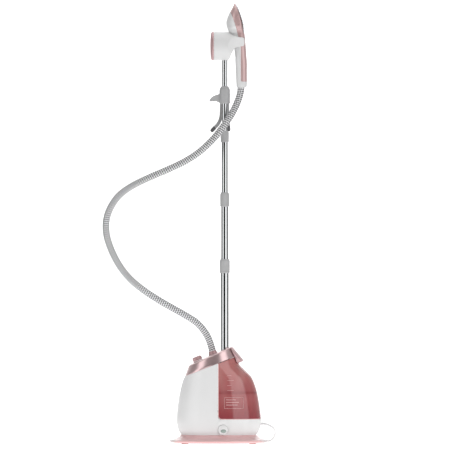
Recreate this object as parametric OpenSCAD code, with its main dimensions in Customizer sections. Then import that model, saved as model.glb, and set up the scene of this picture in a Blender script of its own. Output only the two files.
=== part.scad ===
// Upright garment steamer: base with boiler and tank, telescopic mast, hanger,
// cradle, steam handset, steam hose and mains lead. Origin at floor level under
// the middle of the base. X runs from the knob end to the tank end, Z is up.

/* [Base] */
// Length of the base plate along X
plate_len = 345; // [335:1:355]
// Width of the base plate along Y
plate_wid = 272; // [262:1:280]
// Height of the rubber feet
foot_h = 2.5; // [2.5]
// Radius of a rubber foot
foot_r = 12; // [9:0.5:14]
// Wall of the moulded shells
wall = 3; // [2.5:0.1:3.5]

/* [Mast] */
// Outer diameter of the lowest tube
tube_d1 = 28; // [28]
// Step in diameter from one tube to the next
tube_step = 3; // [3]
// Wall of every tube
tube_wall = 1; // [0.8:0.1:1]
// Position of the mast along X
mast_x = 21; // [20:0.5:22]
// Tops of the three joints where a tube enters the one below
joint_tops = [646, 879, 1095];
// Heights of the three lock collars
collar_heights = [49, 49.5, 40];
// Top of the uppermost tube
mast_top = 1385; // [1380:1:1390]

/* [Hanger and cradle] */
// Bottom of the hanger bracket
bracket_z = 1190; // [1190]
// Height of the hanger bracket
bracket_h = 63; // [60:1:66]
// Radius of the hanger bracket
bracket_r = 18.5; // [17.5:0.5:19]
// Height of the cradle drum's axis
drum_z = 1391; // [1391]
// Radius of the cradle drum
drum_r = 50; // [48:0.5:50]

/* [Hose and lead] */
// Diameter of the steam hose
hose_d = 25; // [22:1:25]
// Diameter of the mains lead
lead_d = 7; // [6:0.5:7]
// Radius at the middle of the lead's coil
coil_r = 40; // [38:1:42]

/* [Controls] */
// Diameter of the steam knob
knob_d = 34; // [30:1:35]
// Height of the steam knob
knob_h = 14; // [12:1:15]
// Travel of the power button
button_travel = 3; // [2:0.5:3]

/* [Hidden] */

$fn = 64;
white = [0.93, 0.93, 0.93];
rose = [0.78, 0.6, 0.62];
pink = [0.86, 0.7, 0.7];
grey = [0.62, 0.62, 0.63];
steel = [0.75, 0.76, 0.78];
dark = [0.2, 0.2, 0.21];

ring_n = 48;         // points round a shell section
gap = 0.6;           // clearance between shells on different bodies
fit = 0.05;          // radial running clearance
far = 400;           // larger than any shell

// Sections of the body, from the plate to the deck's lower edge:
// left x, left z, right x, right z, half depth.
body_sections = [
    [-130, 31, 131, 31, 96],
    [-139, 44, 140, 44, 101],
    [-145, 62, 146, 62, 104],
    [-147.5, 84, 149, 86, 105],
    [-145.5, 112, 146, 115, 104],
    [-139.5, 160, 139, 162, 100],
    [-131, 200, 129, 202, 95],
    [-124, 224, 115, 235, 91],
    [-121, 230, 92, 259, 88.5],
    [-119.5, 233, 70, 283, 86],
    [-118, 236, 62, 307, 84]];
// Sections of the deck, from its lower edge to its top.
deck_sections = [
    [-118, 236, 62, 307, 84],
    [-107, 268, 50.5, 333, 76],
    [-104, 275, 47, 339, 72]];
// Sections of the plate, as fractions of its half length and half width, and height.
plate_sections = [
    [0.87, 0.84, foot_h],
    [0.975, 0.963, 6],
    [1, 1, 9.5],
    [0.986, 0.985, 12.5],
    [0.88, 0.865, 17],
    [0.81, 0.77, 23],
    [0.765, 0.71, 31]];
// Sections of the handset: z, left x, x of the greatest width, right x, half width.
handset_sections = [
    [1248, 62.5, 82, 98, 15],
    [1252, 62, 82, 98.5, 17],
    [1267, 61.3, 82, 99, 18],
    [1306, 59.6, 82, 99, 18.5],
    [1331, 58.4, 80, 99, 18.5],
    [1381, 56.4, 77, 95.5, 17.5],
    [1395, 54, 76, 94.5, 17.5],
    [1412, 46, 74, 93, 18],
    [1424, 40, 74, 92, 19],
    [1433, 37, 75, 90.8, 21],
    [1443, 34, 77, 89.5, 32],
    [1456, 29, 76, 88, 43],
    [1470, 26.5, 74, 86, 45],
    [1484, 28, 71, 82.5, 43],
    [1504, 36, 66, 76, 36],
    [1520, 45, 62, 70, 26],
    [1531, 50.5, 59, 65, 16],
    [1538, 54, 57.5, 60.5, 8],
    [1541, 55.5, 56.5, 57.5, 3]];

deck_slope = atan2(339 - 275, 47 + 104);
knob_foot = [-73, 0, 292];
gland_top = [-22, 0, 324];
gland_tilt = 14;
bay_x = -3;          // face of the body's partition towards the tank
bay_z = 86;          // top of the shelf under the tank
bay_r = 12;          // inner corner of the tank's outline
plug_at = [-22, 168];
coil_at = [50, 215];
handset_x = 81;
arm_y = 15.8;        // front face of the hanger's arms
arm_t = 8;
arm_w = 11;
pivot_z = 1203;
pivot_dx = 9;
column_r = 18;

// Route of the steam hose, from the gland to the handset.
hose_route = [
    [-22, 0, 324], [-26, 0, 340], [-37, -2, 370], [-54, -5, 398], [-82, -8, 427],
    [-122, -12, 452], [-170, -16, 479], [-216, -20, 506], [-260, -24, 535], [-300, -27, 567],
    [-333, -30, 603], [-360, -33, 645], [-382, -36, 695], [-393, -39, 740], [-392, -41, 785],
    [-377, -44, 828], [-347, -46, 869], [-300, -48, 903], [-240, -50, 932], [-175, -52, 960],
    [-115, -52, 989], [-63, -51, 1024], [-18, -48, 1067], [18, -40, 1112], [46, -27, 1154],
    [63.5, -13, 1190], [74.5, -3, 1222], [78.5, 0, 1248]];
hose_joins = [12, 20, 23];   // route points where the hose is shared out
// Route of the mains lead, from its strain relief to its coil.
lead_route = [
    [171, 4, 67], [181, 8, 62], [190, 15, 55], [196, 27, 46], [198, 43, 36], [196, 62, 26],
    [191, 82, 16], [182, 102, 8], [170, 122, 5], [155, 141, 4], [137, 156, 4], [118, 165, 4],
    [98, 168, 4], [78, 168, 4]];
// The lead's short stretch from its coil up into the plug.
tail_route = [[33, 168, 12], [27, 168, 15.5], [22, 168, 18]];

// ---------- shared geometry ----------

// One closed section. The x of the greatest width is xm, and p squares the corners.
function section(xl, zl, xr, zr, yd, xm, p = 2.4) = [
    for (i = [0:ring_n - 1])
        let (a = 360 * i / ring_n, c = cos(a), s = sin(a))
        let (m = pow(pow(abs(c), p) + pow(abs(s), p), -1 / p))
        let (x = xm + m * c * (c > 0 ? xr - xm : xm - xl))
        [x, m * s * yd, zl + (zr - zl) * (x - xl) / (xr - xl)]];

function body_ring(s, inset, drop = 0) =
    section(s[0] + inset, s[1] - drop, s[2] - inset, s[3] - drop, s[4] - inset,
        (s[0] + s[2]) / 2);

function handset_ring(s, grow, shift = 0) =
    section(s[1] - grow + shift, s[0], s[3] + grow + shift, s[0], max(s[4] + grow, 0.6),
        s[2] + shift, 2.3);

// A handset section drawn out along +X, as the handset leaves its cradle.
function leaving_ring(s, grow, reach) = [
    for (q = handset_ring(s, grow)) q[0] > s[2] - 0.01 ? [q[0] + reach, q[1], q[2]] : q];

// Solid through a list of sections with the same number of points.
module loft(rings) {
    n = len(rings[0]);
    m = len(rings);
    sides = [for (j = [0:m - 2]) for (i = [0:n - 1]) let (k = (i + 1) % n)
        [j * n + i, (j + 1) * n + i, (j + 1) * n + k, j * n + k]];
    caps = [[for (i = [0:n - 1]) i], [for (i = [n - 1:-1:0]) (m - 1) * n + i]];
    polyhedron([for (r = rings) each r], concat(sides, caps), convexity = 6);
}

function unit(v) = v / norm(v);
function route_way(r, i) = unit(r[min(i + 1, len(r) - 1)] - r[max(i - 1, 0)]);

// One round section of a tube, in the plane across its way. The level direction
// turns the section the same way all along the route.
function tube_ring(c, way, radius, n, level) =
    let (side = unit(cross(way, level)), up = cross(side, way))
    [for (i = [0:n - 1]) c + radius * (cos(360 * i / n) * side + sin(360 * i / n) * up)];

// Smooth point at place t between route points i and i + 1.
function smooth(r, i, t) =
    let (a = r[max(i - 1, 0)], b = r[i], c = r[i + 1], d = r[min(i + 2, len(r) - 1)])
    0.5 * (2 * b + t * (c - a) + t * t * (2 * a - 5 * b + 4 * c - d)
        + t * t * t * (3 * b - a - 3 * c + d));
function smooth_way(r, i, t) = unit(
    smooth(r, i, min(t + 0.01, 1)) - smooth(r, i, max(t - 0.01, 0)));

// Tube along a route from point a to point b, its bends eased by the whole route.
module swept(route, a, b, radius, n = 10, steps = 1, level = [0, 1, 0.1], last_way = undef,
    start = 0) {
    stops = [for (i = [a:b - 1]) for (k = [0:steps - 1])
        [i, i == a && k == 0 ? start : k / steps]];
    rings = [for (s = stops) tube_ring(smooth(route, s[0], s[1]),
        s[1] == 0 ? route_way(route, s[0]) : smooth_way(route, s[0], s[1]), radius, n, level)];
    end_way = is_undef(last_way) ? route_way(route, b) : last_way;
    loft(concat(rings, [tube_ring(route[b], end_way, radius, n, level)]));
}

module tube(r_out, r_in, z0, z1) {
    translate([0, 0, z0]) difference() {
        cylinder(r = r_out, h = z1 - z0);
        translate([0, 0, -1]) cylinder(r = r_in, h = z1 - z0 + 2);
    }
}

// Outline in X and Z, given depth along Y.
module side_prism(depth) {
    rotate([90, 0, 0]) linear_extrude(depth, center = true) children();
}

// Everything past the tank's outline, with its round corner.
module bay_outline(x0, z0) {
    translate([x0 + bay_r, z0]) square(far);
    translate([x0, z0 + bay_r]) square(far);
    translate([x0 + bay_r, z0 + bay_r]) circle(bay_r);
}

module along_x(x, y, z) {
    translate([x, y, z]) rotate([0, 90, 0]) children();
}

module on_deck(p) {
    translate(p) rotate([0, -deck_slope, 0]) children();
}

function body_rings(inset, drop = 0) = [for (s = body_sections) body_ring(s, inset, drop)];
function tube_r(k) = (tube_d1 - tube_step * (k - 1)) / 2;

// ---------- base ----------

module base_plate() {
    color(pink) loft([for (s = plate_sections)
        section(-s[0] * plate_len / 2, s[2], s[0] * plate_len / 2, s[2],
            s[1] * plate_wid / 2, 0, 2.15)]);
}

module rubber_feet() {
    color(dark) for (x = [-118, 118]) for (y = [-72, 72])
        translate([x, y, 0]) cylinder(r = foot_r, h = foot_h);
}

module chassis_tray() {
    color(white) translate([0, 0, 31.2]) difference() {
        loft([for (z = [0, 3.8]) section(-121, z, 121, z, 88, 0)]);
        translate([mast_x, 0, -1]) cylinder(r = column_r + 0.3, h = 6);
        for (x = [-95, 95]) for (y = [-50, 50]) translate([x, y, -1]) cylinder(r = 1.6, h = 6);
    }
}

module base_screws() {
    color(steel) for (x = [-95, 95]) for (y = [-50, 50]) translate([x, y, 31.2]) {
        cylinder(r = 1.5, h = 3.8);
        translate([0, 0, 3.8]) cylinder(r = 3.5, h = 2.4);
    }
}

module body_shell() {
    color(white) resize([0, 0, 0]) difference() {
        loft(body_rings(0));
        loft([for (i = [0:len(body_sections) - 1]) let (s = body_sections[i])
            let (lift = i == 0 ? 0.1 : (i == len(body_sections) - 1 ? -0.1 : 0))
            body_ring(s, wall, lift)]);
        side_prism(far) bay_outline(bay_x, bay_z);
        translate([15, -105, 50]) rotate([90, 0, 0]) cylinder(r = 18.5, h = 30, center = true);
        along_x(130, 0, 70) cylinder(r = 5.2, h = 40);
    }
}

module tank_bay() {
    color(white) resize([0, 0, 0]) difference() {
        intersection() {
            loft(body_rings(wall + 0.4, 0.4));
            side_prism(far) difference() {
                bay_outline(bay_x - wall, bay_z - wall);
                bay_outline(bay_x, bay_z);
            }
        }
        translate([mast_x, 0, 50]) cylinder(r = column_r + 0.3, h = 60);
        along_x(-20, 45, 112) cylinder(r = 7.3, h = 40);
    }
}

module top_deck() {
    color(rose) resize([0, 0, 0]) difference() {
        union() {
            loft([for (s = deck_sections) body_ring(s, 0)]);
            on_deck(knob_foot) translate([0, 0, -6]) cylinder(r = knob_d / 2 + 1.5, h = 5);
        }
        loft([for (i = [0:2]) let (s = deck_sections[i])
            body_ring(s, wall, i == 2 ? wall : (i == 0 ? wall / 2 : 0))]);
        translate([mast_x, 0, 280]) cylinder(r = tube_r(1) + 0.6, h = 90);
        on_deck(knob_foot) translate([0, 0, -20]) cylinder(r = 4.2, h = 30);
        translate(gland_top) rotate([0, -gland_tilt, 0]) translate([0, 0, -40])
            cylinder(r = 12.5, h = 40);
    }
}

module hose_gland() {
    color(rose) translate(gland_top) rotate([0, -gland_tilt, 0]) rotate_extrude()
        polygon([[6, 0], [13.5, 0], [14.2, -1], [18, -13], [18.4, -17], [12, -19], [12, -34],
            [9, -36], [6, -36]]);
}

module control_knob() {
    color(rose) on_deck(knob_foot) {
        rotate_extrude() polygon([[0, 0], [knob_d / 2, 0], [knob_d / 2 - 0.5, knob_h - 3],
            [knob_d / 2 - 2.5, knob_h - 0.6], [knob_d / 2 - 6, knob_h], [0, knob_h]]);
        translate([0, 0, -14]) cylinder(r = 3, h = 14);
    }
}

module steam_regulator() {
    color(dark) on_deck(knob_foot) translate([0, 0, -32]) difference() {
        cylinder(r = 13, h = 22);
        translate([0, 0, 10]) cylinder(r = 3 + fit, h = 20);
    }
}

module power_button() {
    color(white) translate([15, -105, 50]) rotate([90, 0, 0])
        rotate_extrude() polygon([[0, -9], [17.9, -9], [17.9, 0.5], [16.5, 2], [0, 2.6]]);
}

module power_switch() {
    color(dark) translate([3, -92, 40]) cube([24, 14, 20]);
}

module boiler_body() {
    color(steel) translate([-75, 0, 35.2]) difference() {
        cylinder(r = 44, h = 60);
        translate([0, 0, 4]) cylinder(r = 40, h = 60);
    }
}

module boiler_cover() {
    color(steel) translate([-75, 0, 95.2]) {
        difference() {
            cylinder(r = 48, h = 5);
            translate([12, 0, -1]) cylinder(r = 3, h = 7);
        }
        translate([12, 0, 5]) tube(6, 3, 0, 14);
    }
}

module heating_element() {
    color(dark) translate([-75, 0, 50]) rotate_extrude() translate([28, 0]) circle(4);
}

module thermostat() {
    color(dark) translate([-90, 18, 100.2]) cylinder(r = 9, h = 8);
}

module steam_tube() {
    route = [[-63, 0, 114.3], [-62, 0, 135], [-55, 0, 165], [-43, 0, 198], [-30, 0, 230],
        [-20, 0, 260], [-13.5, 0, 288.8]];
    color(white) swept(route, 0, 6, 5, 10, 1);
}

module water_pump() {
    color(dark) along_x(60, 30, 56) {
        cylinder(r = 17, h = 38);
        translate([0, 0, -12]) cylinder(r = 6, h = 12);
    }
}

module feed_tube() {
    route = [[47.8, 30, 56], [43, 30, 56], [33, 36, 54], [15, 42, 50], [-8, 40, 52], [-22, 32, 62],
        [-36, 22.2, 72]];
    color(white) swept(route, 0, 5, 3, 8, 2);
}

module tank_dock() {
    color(dark) along_x(-16, 45, 112) {
        difference() {
            cylinder(r = 7, h = 12);
            translate([0, 0, 4]) cylinder(r = 4.6, h = 20);
        }
    }
}

module control_board() {
    color([0.2, 0.45, 0.3]) translate([-110, 60, 130]) cube([70, 1.6, 55]);
}

module pole_socket() {
    color(white) translate([mast_x, 0, 0]) difference() {
        translate([0, 0, 31]) cylinder(r = column_r, h = 277);
        translate([0, 0, 40]) cylinder(r = tube_r(1) + fit, h = 300);
    }
}

module strain_relief() {
    color(white) hull() {
        along_x(141, 0, 70) cylinder(r = 5, h = 3, $fn = 32);
        along_x(149.5, 0, 70) cylinder(r = 5, h = 1, $fn = 32);
        translate([170.5, 3.8, 67.2]) rotate([0, 115, 22]) cylinder(r = 3.8, h = 0.5, $fn = 32);
    }
}

// ---------- tank ----------

module tank_solid(inset, x0, z0, drop) {
    intersection() {
        loft(body_rings(inset, drop));
        side_prism(far) bay_outline(x0, z0);
    }
}

// Space that the mast's column takes as the tank is drawn out.
module column_slot(r) {
    translate([mast_x, 0, 40]) cylinder(r = r, h = 300);
    translate([mast_x - far, -r, 40]) cube([far, 2 * r, 300]);
}

// The floor of the well round the filler, on the tank's slanted shoulder.
module at_fill() {
    translate([86, 0, 249]) rotate([0, 46, 0]) children();
}

module tank_shell() {
    color([0.8, 0.5, 0.53]) resize([0, 0, 0]) difference() {
        tank_solid(0, bay_x + gap, bay_z + gap, 1);
        difference() {
            tank_solid(2.5, bay_x + gap + 2.5, bay_z + gap + 2.5, 4);
            column_slot(column_r + gap + 3);
            at_fill() translate([0, 0, -2.5]) cylinder(r = 20.5, h = 40);
        }
        at_fill() translate([0, 0, -3]) cylinder(r = 12, h = 6);
        column_slot(column_r + gap);
        at_fill() cylinder(r = 18, h = 30);
        along_x(-20, 45, 112) cylinder(r = 4.5, h = 40);
    }
}

module tank_handle() {
    color(rose) side_prism(96) polygon([[48.3, 338.5], [88, 291], [79, 284.5], [73, 283],
        [70.8, 284], [63, 306.5]]);
}

module fill_cap() {
    color(rose) at_fill() {
        translate([0, 0, 0.4]) cylinder(r = 17, h = 7);
        translate([0, 0, -6]) cylinder(r = 11.6, h = 6.4);
    }
}

module tank_valve() {
    color(dark) along_x(-11, 45, 112) {
        cylinder(r = 4.4, h = 20);
    }
}

// ---------- mast ----------

// Tube k runs from below the joint under it to the joint above it.
tube_low = [40, 540, 772, 990];
tube_high = [joint_tops[0] - 6, joint_tops[1] - 6, joint_tops[2] - 6, mast_top];

module pole_tube(k) {
    color(steel) translate([mast_x, 0, 0])
        tube(tube_r(k), tube_r(k) - tube_wall, tube_low[k - 1], tube_high[k - 1]);
}

// The collar turns on the lower tube and closes round the upper one.
module lock_collar(k) {
    top = joint_tops[k - 1];
    low = top - collar_heights[k - 1];
    r = tube_r(k) + 3.5;
    color(grey) translate([mast_x, 0, 0]) rotate_extrude() polygon([
        [tube_r(k) + fit, low], [r - 1, low], [r, low + 1], [r, top - 4], [r - 2.5, top],
        [tube_r(k + 1) + 0.15, top], [tube_r(k + 1) + 0.15, top - 5.5],
        [tube_r(k) + fit, top - 5.5]]);
}

// The bush fills the foot of tube k and guides it in the tube below.
module slide_bush(k) {
    z = tube_low[k - 1];
    r_in = tube_r(k) - tube_wall;
    r_out = tube_r(k - 1) - tube_wall - fit;
    color(dark) translate([mast_x, 0, z]) rotate_extrude() polygon([
        [r_in - 3, -14], [r_out, -14], [r_out, 0], [r_in - fit, 0], [r_in - fit, 20],
        [r_in - 3, 20]]);
}

// ---------- hanger ----------

module hanger_bracket() {
    top = bracket_z + bracket_h;
    color(grey) difference() {
        union() {
            translate([mast_x, 0, 0]) rotate_extrude() polygon(concat(
                [[0, bracket_z], [bracket_r, bracket_z]],
                [for (a = [0:15:60]) [bracket_r * cos(a), top - 18 + 20 * sin(a)]],
                [[0, top]]));
            side_prism(9) polygon([[8, 1227], [0, 1223], [-8.5, 1220.5], [-17, 1217.5], [-26, 1211],
                [-33, 1201.5], [-31, 1198], [-25, 1197], [-21, 1199], [-14, 1196.5], [-7, 1198],
                [2, 1194], [8, 1194]]);
        }
        translate([mast_x, 0, bracket_z - 1]) cylinder(r = tube_r(4) + fit, h = bracket_h + 9);
        translate([mast_x - 30, arm_y - 0.4, bracket_z - 1]) cube([60, 20, bracket_h + 9]);
        for (side = [-1, 1]) translate([mast_x + side * pivot_dx, arm_y, pivot_z])
            rotate([90, 0, 0]) cylinder(r = 2, h = 5.4);
    }
}

module hanger_pins() {
    color(steel) for (side = [-1, 1]) translate([mast_x + side * pivot_dx, 0, pivot_z])
        rotate([-90, 0, 0]) {
            translate([0, 0, arm_y - 5]) cylinder(r = 2, h = arm_t + 5.5);
            translate([0, 0, arm_y + arm_t + 0.5]) cylinder(r = 4, h = 1.6);
        }
}

// Bar of one width along a list of points in X and Z, with mitred bends.
function side_way(r, i) =
    let (a = unit(r[i] - r[max(i - 1, 0)] + 0.001 * (r[1] - r[0])), n = len(r) - 1)
    let (b = i < n ? unit(r[i + 1] - r[i]) : a, c = i > 0 ? a : b)
    let (m = unit(b + c)) [-m[1], m[0]] / (m * b);
function edge_of(r, half) = [for (i = [0:len(r) - 1]) r[i] + half * side_way(r, i)];

module bar(points, width) {
    right = edge_of(points, -width / 2);
    polygon(concat(edge_of(points, width / 2), [for (i = [len(right) - 1:-1:0]) right[i]]));
}

module arm_place() {
    translate([0, arm_y + arm_t / 2, 0]) side_prism(arm_t) children();
}

left_arm = [[mast_x - pivot_dx, pivot_z], [9.5, 1186], [8.5, 1152], [5, 1134], [-3, 1118],
    [-14, 1106]];
right_arm = [[mast_x + pivot_dx, pivot_z], [31, 1152], [32, 1134], [33.5, 1112]];

module hanger_arm(points) {
    below_eye = points[0] + 3.5 * unit(points[1] - points[0]);
    color(grey) difference() {
        union() {
            arm_place() bar([for (i = [0:len(points) - 1]) i == 0 ? below_eye : points[i]],
                arm_w);
            eye_cylinder(points[0], 6, arm_t);
        }
        eye_cylinder(points[0], 2 + fit, arm_t + 2);
    }
}

// Cylinder along Y round an arm's pivot.
module eye_cylinder(p, r, h) {
    translate([p[0], arm_y + arm_t / 2, p[1]]) rotate([90, 0, 0])
        cylinder(r = r, h = h, center = true);
}

// Rubber end of an arm, past its last point.
module arm_tip(points) {
    last = points[len(points) - 1];
    d = unit(last - points[len(points) - 2]);
    color(dark) arm_place() hull() {
        translate(last + 7 * d) circle(6.5, $fn = 32);
        translate(last + 13 * d) circle(6.5, $fn = 32);
    }
}

// ---------- cradle ----------

module cradle_drum() {
    color(white) difference() {
        along_x(-16, 0, drum_z) difference() {
            cylinder(r = drum_r, h = 50);
            translate([0, 0, -1]) cylinder(r = drum_r - wall, h = 48);
        }
        translate([mast_x, 0, drum_z - 60]) cylinder(r = tube_r(4) + fit, h = 60);
    }
}

module cradle_end_cap() {
    color(rose) along_x(-16, 0, drum_z) rotate_extrude() polygon(concat(
        [[0, -11]], [[drum_r - 3 - 4, -4]], [[drum_r - 4, 0]], [[drum_r, 0]],
        [for (a = [0:15:90]) [drum_r - 8 + 8 * cos(a), -5 - 7 * sin(a)]],
        [[24, -13.4], [0, -14]]));
}

module cradle_yoke() {
    color(white) resize([0, 0, 0]) difference() {
        intersection() {
            side_prism(120) polygon([[34, 1441], [42, 1434], [50, 1428], [66, 1423.5], [86, 1420],
                [90, 1416], [90, 1395.5], [87, 1391], [66, 1388], [56, 1383.5], [49, 1376],
                [44, 1364], [39, 1350], [34, 1342]]);
            translate([0, 0, 1300]) linear_extrude(200) polygon([[34, -49], [48, -40], [66, -33],
                [91.5, -29], [91.5, 29], [66, 33], [48, 40], [34, 49]]);
            along_x(34, 0, drum_z) cylinder(r = drum_r, h = 80);
        }
        loft([for (s = handset_sections) leaving_ring(s, 1.2, 90)]);
        translate([49, -9, 1300]) cube([60, 18, 93]);
    }
}

// ---------- handset ----------

module handset_loft(grow, shift) {
    loft([for (s = handset_sections) handset_ring(s, grow, shift)]);
}

// The hollow inside stops short of the cuff and of the tip.
module handset_hollow() {
    loft([for (i = [1:len(handset_sections) - 4]) handset_ring(handset_sections[i], -wall)]);
}

module soleplate_zone(thick) {
    intersection() {
        difference() {
            handset_loft(0, 0);
            handset_loft(0.4, -thick - 0.4);
        }
        translate([40, -60, 1440]) cube([80, 120, 120]);
    }
}

// Outline of the coloured side of the handset.
module panel_outline() {
    polygon([[36, 1519], [40.5, 1512], [46, 1499], [52, 1484], [61, 1454], [69, 1422],
        [76, 1400], [77, 1380], [77, 1269], [110, 1269], [110, 1550], [36, 1550]]);
}

module handset_walls() {
    difference() {
        handset_loft(0, 0);
        handset_hollow();
        soleplate_zone(4.2);
        translate([79, 0, 1244]) cylinder(r = 6, h = 12);
    }
}

module handset_shell() {
    color(white) resize([0, 0, 0]) difference() {
        handset_walls();
        side_prism(120) panel_outline();
        translate([50, -7.5, 1348]) cube([16, 15, 42]);
    }
}

module handset_panel() {
    color(rose) resize([0, 0, 0]) intersection() {
        handset_walls();
        side_prism(120) panel_outline();
    }
}

module soleplate() {
    color(steel) resize([0, 0, 0]) soleplate_zone(4);
}

module steam_trigger() {
    color(white) side_prism(14) polygon([
        [62, 1350], [58.4, 1350.5], [56.6, 1356], [54.9, 1382], [56, 1387.5], [62, 1388]]);
}

module trigger_switch() {
    color(dark) translate([66, -6, 1358]) cube([10, 12, 22]);
}

// ---------- hose and lead ----------

module hose_stretch(a, b) {
    last = len(hose_route) - 1;
    color(grey) swept(hose_route, a, b, hose_d / 2, 12, 2,
        last_way = b == last ? [0, 0, 1] : undef, start = a == 0 ? 0 : 0.01);
}

module mains_lead() {
    color(white) {
        swept(lead_route, 0, len(lead_route) - 1, lead_d / 2, 8, 1, [0, 0, 1]);
        swept(tail_route, 0, 2, lead_d / 2, 8, 1, [0, 0, 1]);
    }
}

module lead_coil() {
    color(white) translate([coil_at[0], coil_at[1], 0.5]) rotate_extrude()
        translate([coil_r - 1.5 * lead_d, 0]) square([3 * lead_d, 2 * lead_d]);
}

module plug_body() {
    color(white) along_x(plug_at[0], plug_at[1], 18.5) rotate_extrude() polygon([
        [0, 0], [18, 0], [18.5, 2], [18.5, 14], [16, 20], [9, 30], [6, 44], [0, 44]]);
}

module plug_pins() {
    color(steel) for (y = [-9.5, 9.5]) along_x(plug_at[0] - 19, plug_at[1] + y, 18.5)
        cylinder(r = 2.4, h = 19);
}

base_plate();
rubber_feet();
base_screws();
chassis_tray();
body_shell();
tank_bay();
top_deck();
hose_gland();
control_knob();
steam_regulator();
power_button();
power_switch();
boiler_body();
boiler_cover();
heating_element();
thermostat();
steam_tube();
water_pump();
feed_tube();
tank_dock();
control_board();
pole_socket();
strain_relief();
tank_shell();
tank_handle();
fill_cap();
tank_valve();
pole_tube(1);  // pole_tube_1
pole_tube(2);  // pole_tube_2
pole_tube(3);  // pole_tube_3
pole_tube(4);  // pole_tube_4
lock_collar(1);  // lock_collar_1
lock_collar(2);  // lock_collar_2
lock_collar(3);  // lock_collar_3
slide_bush(2);  // slide_bush_2
slide_bush(3);  // slide_bush_3
slide_bush(4);  // slide_bush_4
hanger_bracket();
hanger_pins();
hanger_arm(left_arm);  // hanger_arm_left
hanger_arm(right_arm);  // hanger_arm_right
arm_tip(left_arm);  // arm_tip_left
arm_tip(right_arm);  // arm_tip_right
cradle_drum();
cradle_end_cap();
cradle_yoke();
handset_shell();
handset_panel();
soleplate();
steam_trigger();
trigger_switch();
hose_stretch(0, hose_joins[0]);  // hose_lower
hose_stretch(hose_joins[0], hose_joins[1]);  // hose_middle
hose_stretch(hose_joins[1], hose_joins[2]);  // hose_upper
hose_stretch(hose_joins[2], len(hose_route) - 1);  // hose_top
mains_lead();
lead_coil();
plug_body();
plug_pins();
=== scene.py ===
"""Upright garment steamer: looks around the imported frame.

Shapes are worked out in millimetres in the frame's own axes and become metres when a mesh
is made. X runs from the knob end to the tank end, Z is up, and -Y is the near side.
"""

import math

import bmesh
import bpy
import numpy as np
from mathutils import Matrix, Vector


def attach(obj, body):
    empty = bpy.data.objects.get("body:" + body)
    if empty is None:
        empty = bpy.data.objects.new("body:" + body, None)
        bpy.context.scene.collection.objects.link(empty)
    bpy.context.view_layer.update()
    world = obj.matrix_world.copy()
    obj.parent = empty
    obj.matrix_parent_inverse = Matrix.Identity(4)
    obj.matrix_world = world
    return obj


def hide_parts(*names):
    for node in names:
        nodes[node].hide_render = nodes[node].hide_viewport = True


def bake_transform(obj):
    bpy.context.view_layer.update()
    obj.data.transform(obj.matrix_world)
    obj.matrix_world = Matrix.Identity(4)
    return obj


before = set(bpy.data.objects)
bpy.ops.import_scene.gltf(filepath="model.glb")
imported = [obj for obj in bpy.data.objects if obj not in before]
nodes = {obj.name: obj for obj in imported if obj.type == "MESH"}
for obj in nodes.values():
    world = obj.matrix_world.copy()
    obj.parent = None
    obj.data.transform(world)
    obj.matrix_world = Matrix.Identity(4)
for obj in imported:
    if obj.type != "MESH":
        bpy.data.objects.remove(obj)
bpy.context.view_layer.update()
MM = 0.001


# ---------- mesh helpers ----------

def add_object(name, data):
    obj = bpy.data.objects.new(name, data)
    bpy.context.collection.objects.link(obj)
    return obj


def raw(name, verts, faces):
    """Object from points in millimetres, with all its faces looking outwards."""
    mesh = bpy.data.meshes.new(name)
    mesh.from_pydata([tuple(MM * c for c in v) for v in verts], [], faces)
    mesh.validate()
    bm = bmesh.new()
    bm.from_mesh(mesh)
    bmesh.ops.recalc_face_normals(bm, faces=bm.faces)
    bm.to_mesh(mesh)
    bm.free()
    return add_object(name, mesh)


def settle(obj):
    """Turns the object's modifiers into plain mesh."""
    bpy.context.view_layer.update()
    deps = bpy.context.evaluated_depsgraph_get()
    mesh = bpy.data.meshes.new_from_object(obj.evaluated_get(deps))
    old = obj.data
    obj.modifiers.clear()
    obj.data = mesh
    bpy.data.meshes.remove(old)
    return obj


def combine(obj, other, operation="DIFFERENCE"):
    """Boolean of two closed meshes; the second one is used up."""
    mod = obj.modifiers.new("join", "BOOLEAN")
    mod.operation = operation
    mod.solver = "EXACT"
    mod.object = other
    settle(obj)
    bpy.data.objects.remove(other)
    return obj


def bevel(obj, width, segments=3, angle=35):
    mod = obj.modifiers.new("edges", "BEVEL")
    mod.width = width * MM
    mod.segments = segments
    mod.limit_method = "ANGLE"
    mod.angle_limit = math.radians(angle)
    mod.use_clamp_overlap = True
    return settle(obj)


def remesh(obj, voxel, smooth):
    """One even skin over joined solids, with soft inner corners."""
    mod = obj.modifiers.new("skin", "REMESH")
    mod.mode = "VOXEL"
    mod.voxel_size = voxel * MM
    mod.use_smooth_shade = True
    relax = obj.modifiers.new("relax", "SMOOTH")
    relax.factor = 0.5
    relax.iterations = smooth
    return settle(obj)


def dress(obj, material, body, replaces=(), angle=40):
    """Finishes a piece: its material, smooth shading, body and CAD nodes."""
    obj.data.materials.clear()
    obj.data.materials.append(material)
    if obj.type == "MESH":
        obj.data.shade_smooth()
        obj.data.set_sharp_from_angle(angle=math.radians(angle))
    if body:
        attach(obj, body)
    if replaces:
        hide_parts(*replaces)
    return obj


def place(x, y, z, turn=None):
    """Matrix to a point in millimetres, after a turn."""
    return Matrix.Translation((x, y, z)) @ (turn or Matrix())


def turned(axis, degrees):
    return Matrix.Rotation(math.radians(degrees), 4, axis)


ALONG_X = turned("Y", 90)


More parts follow.
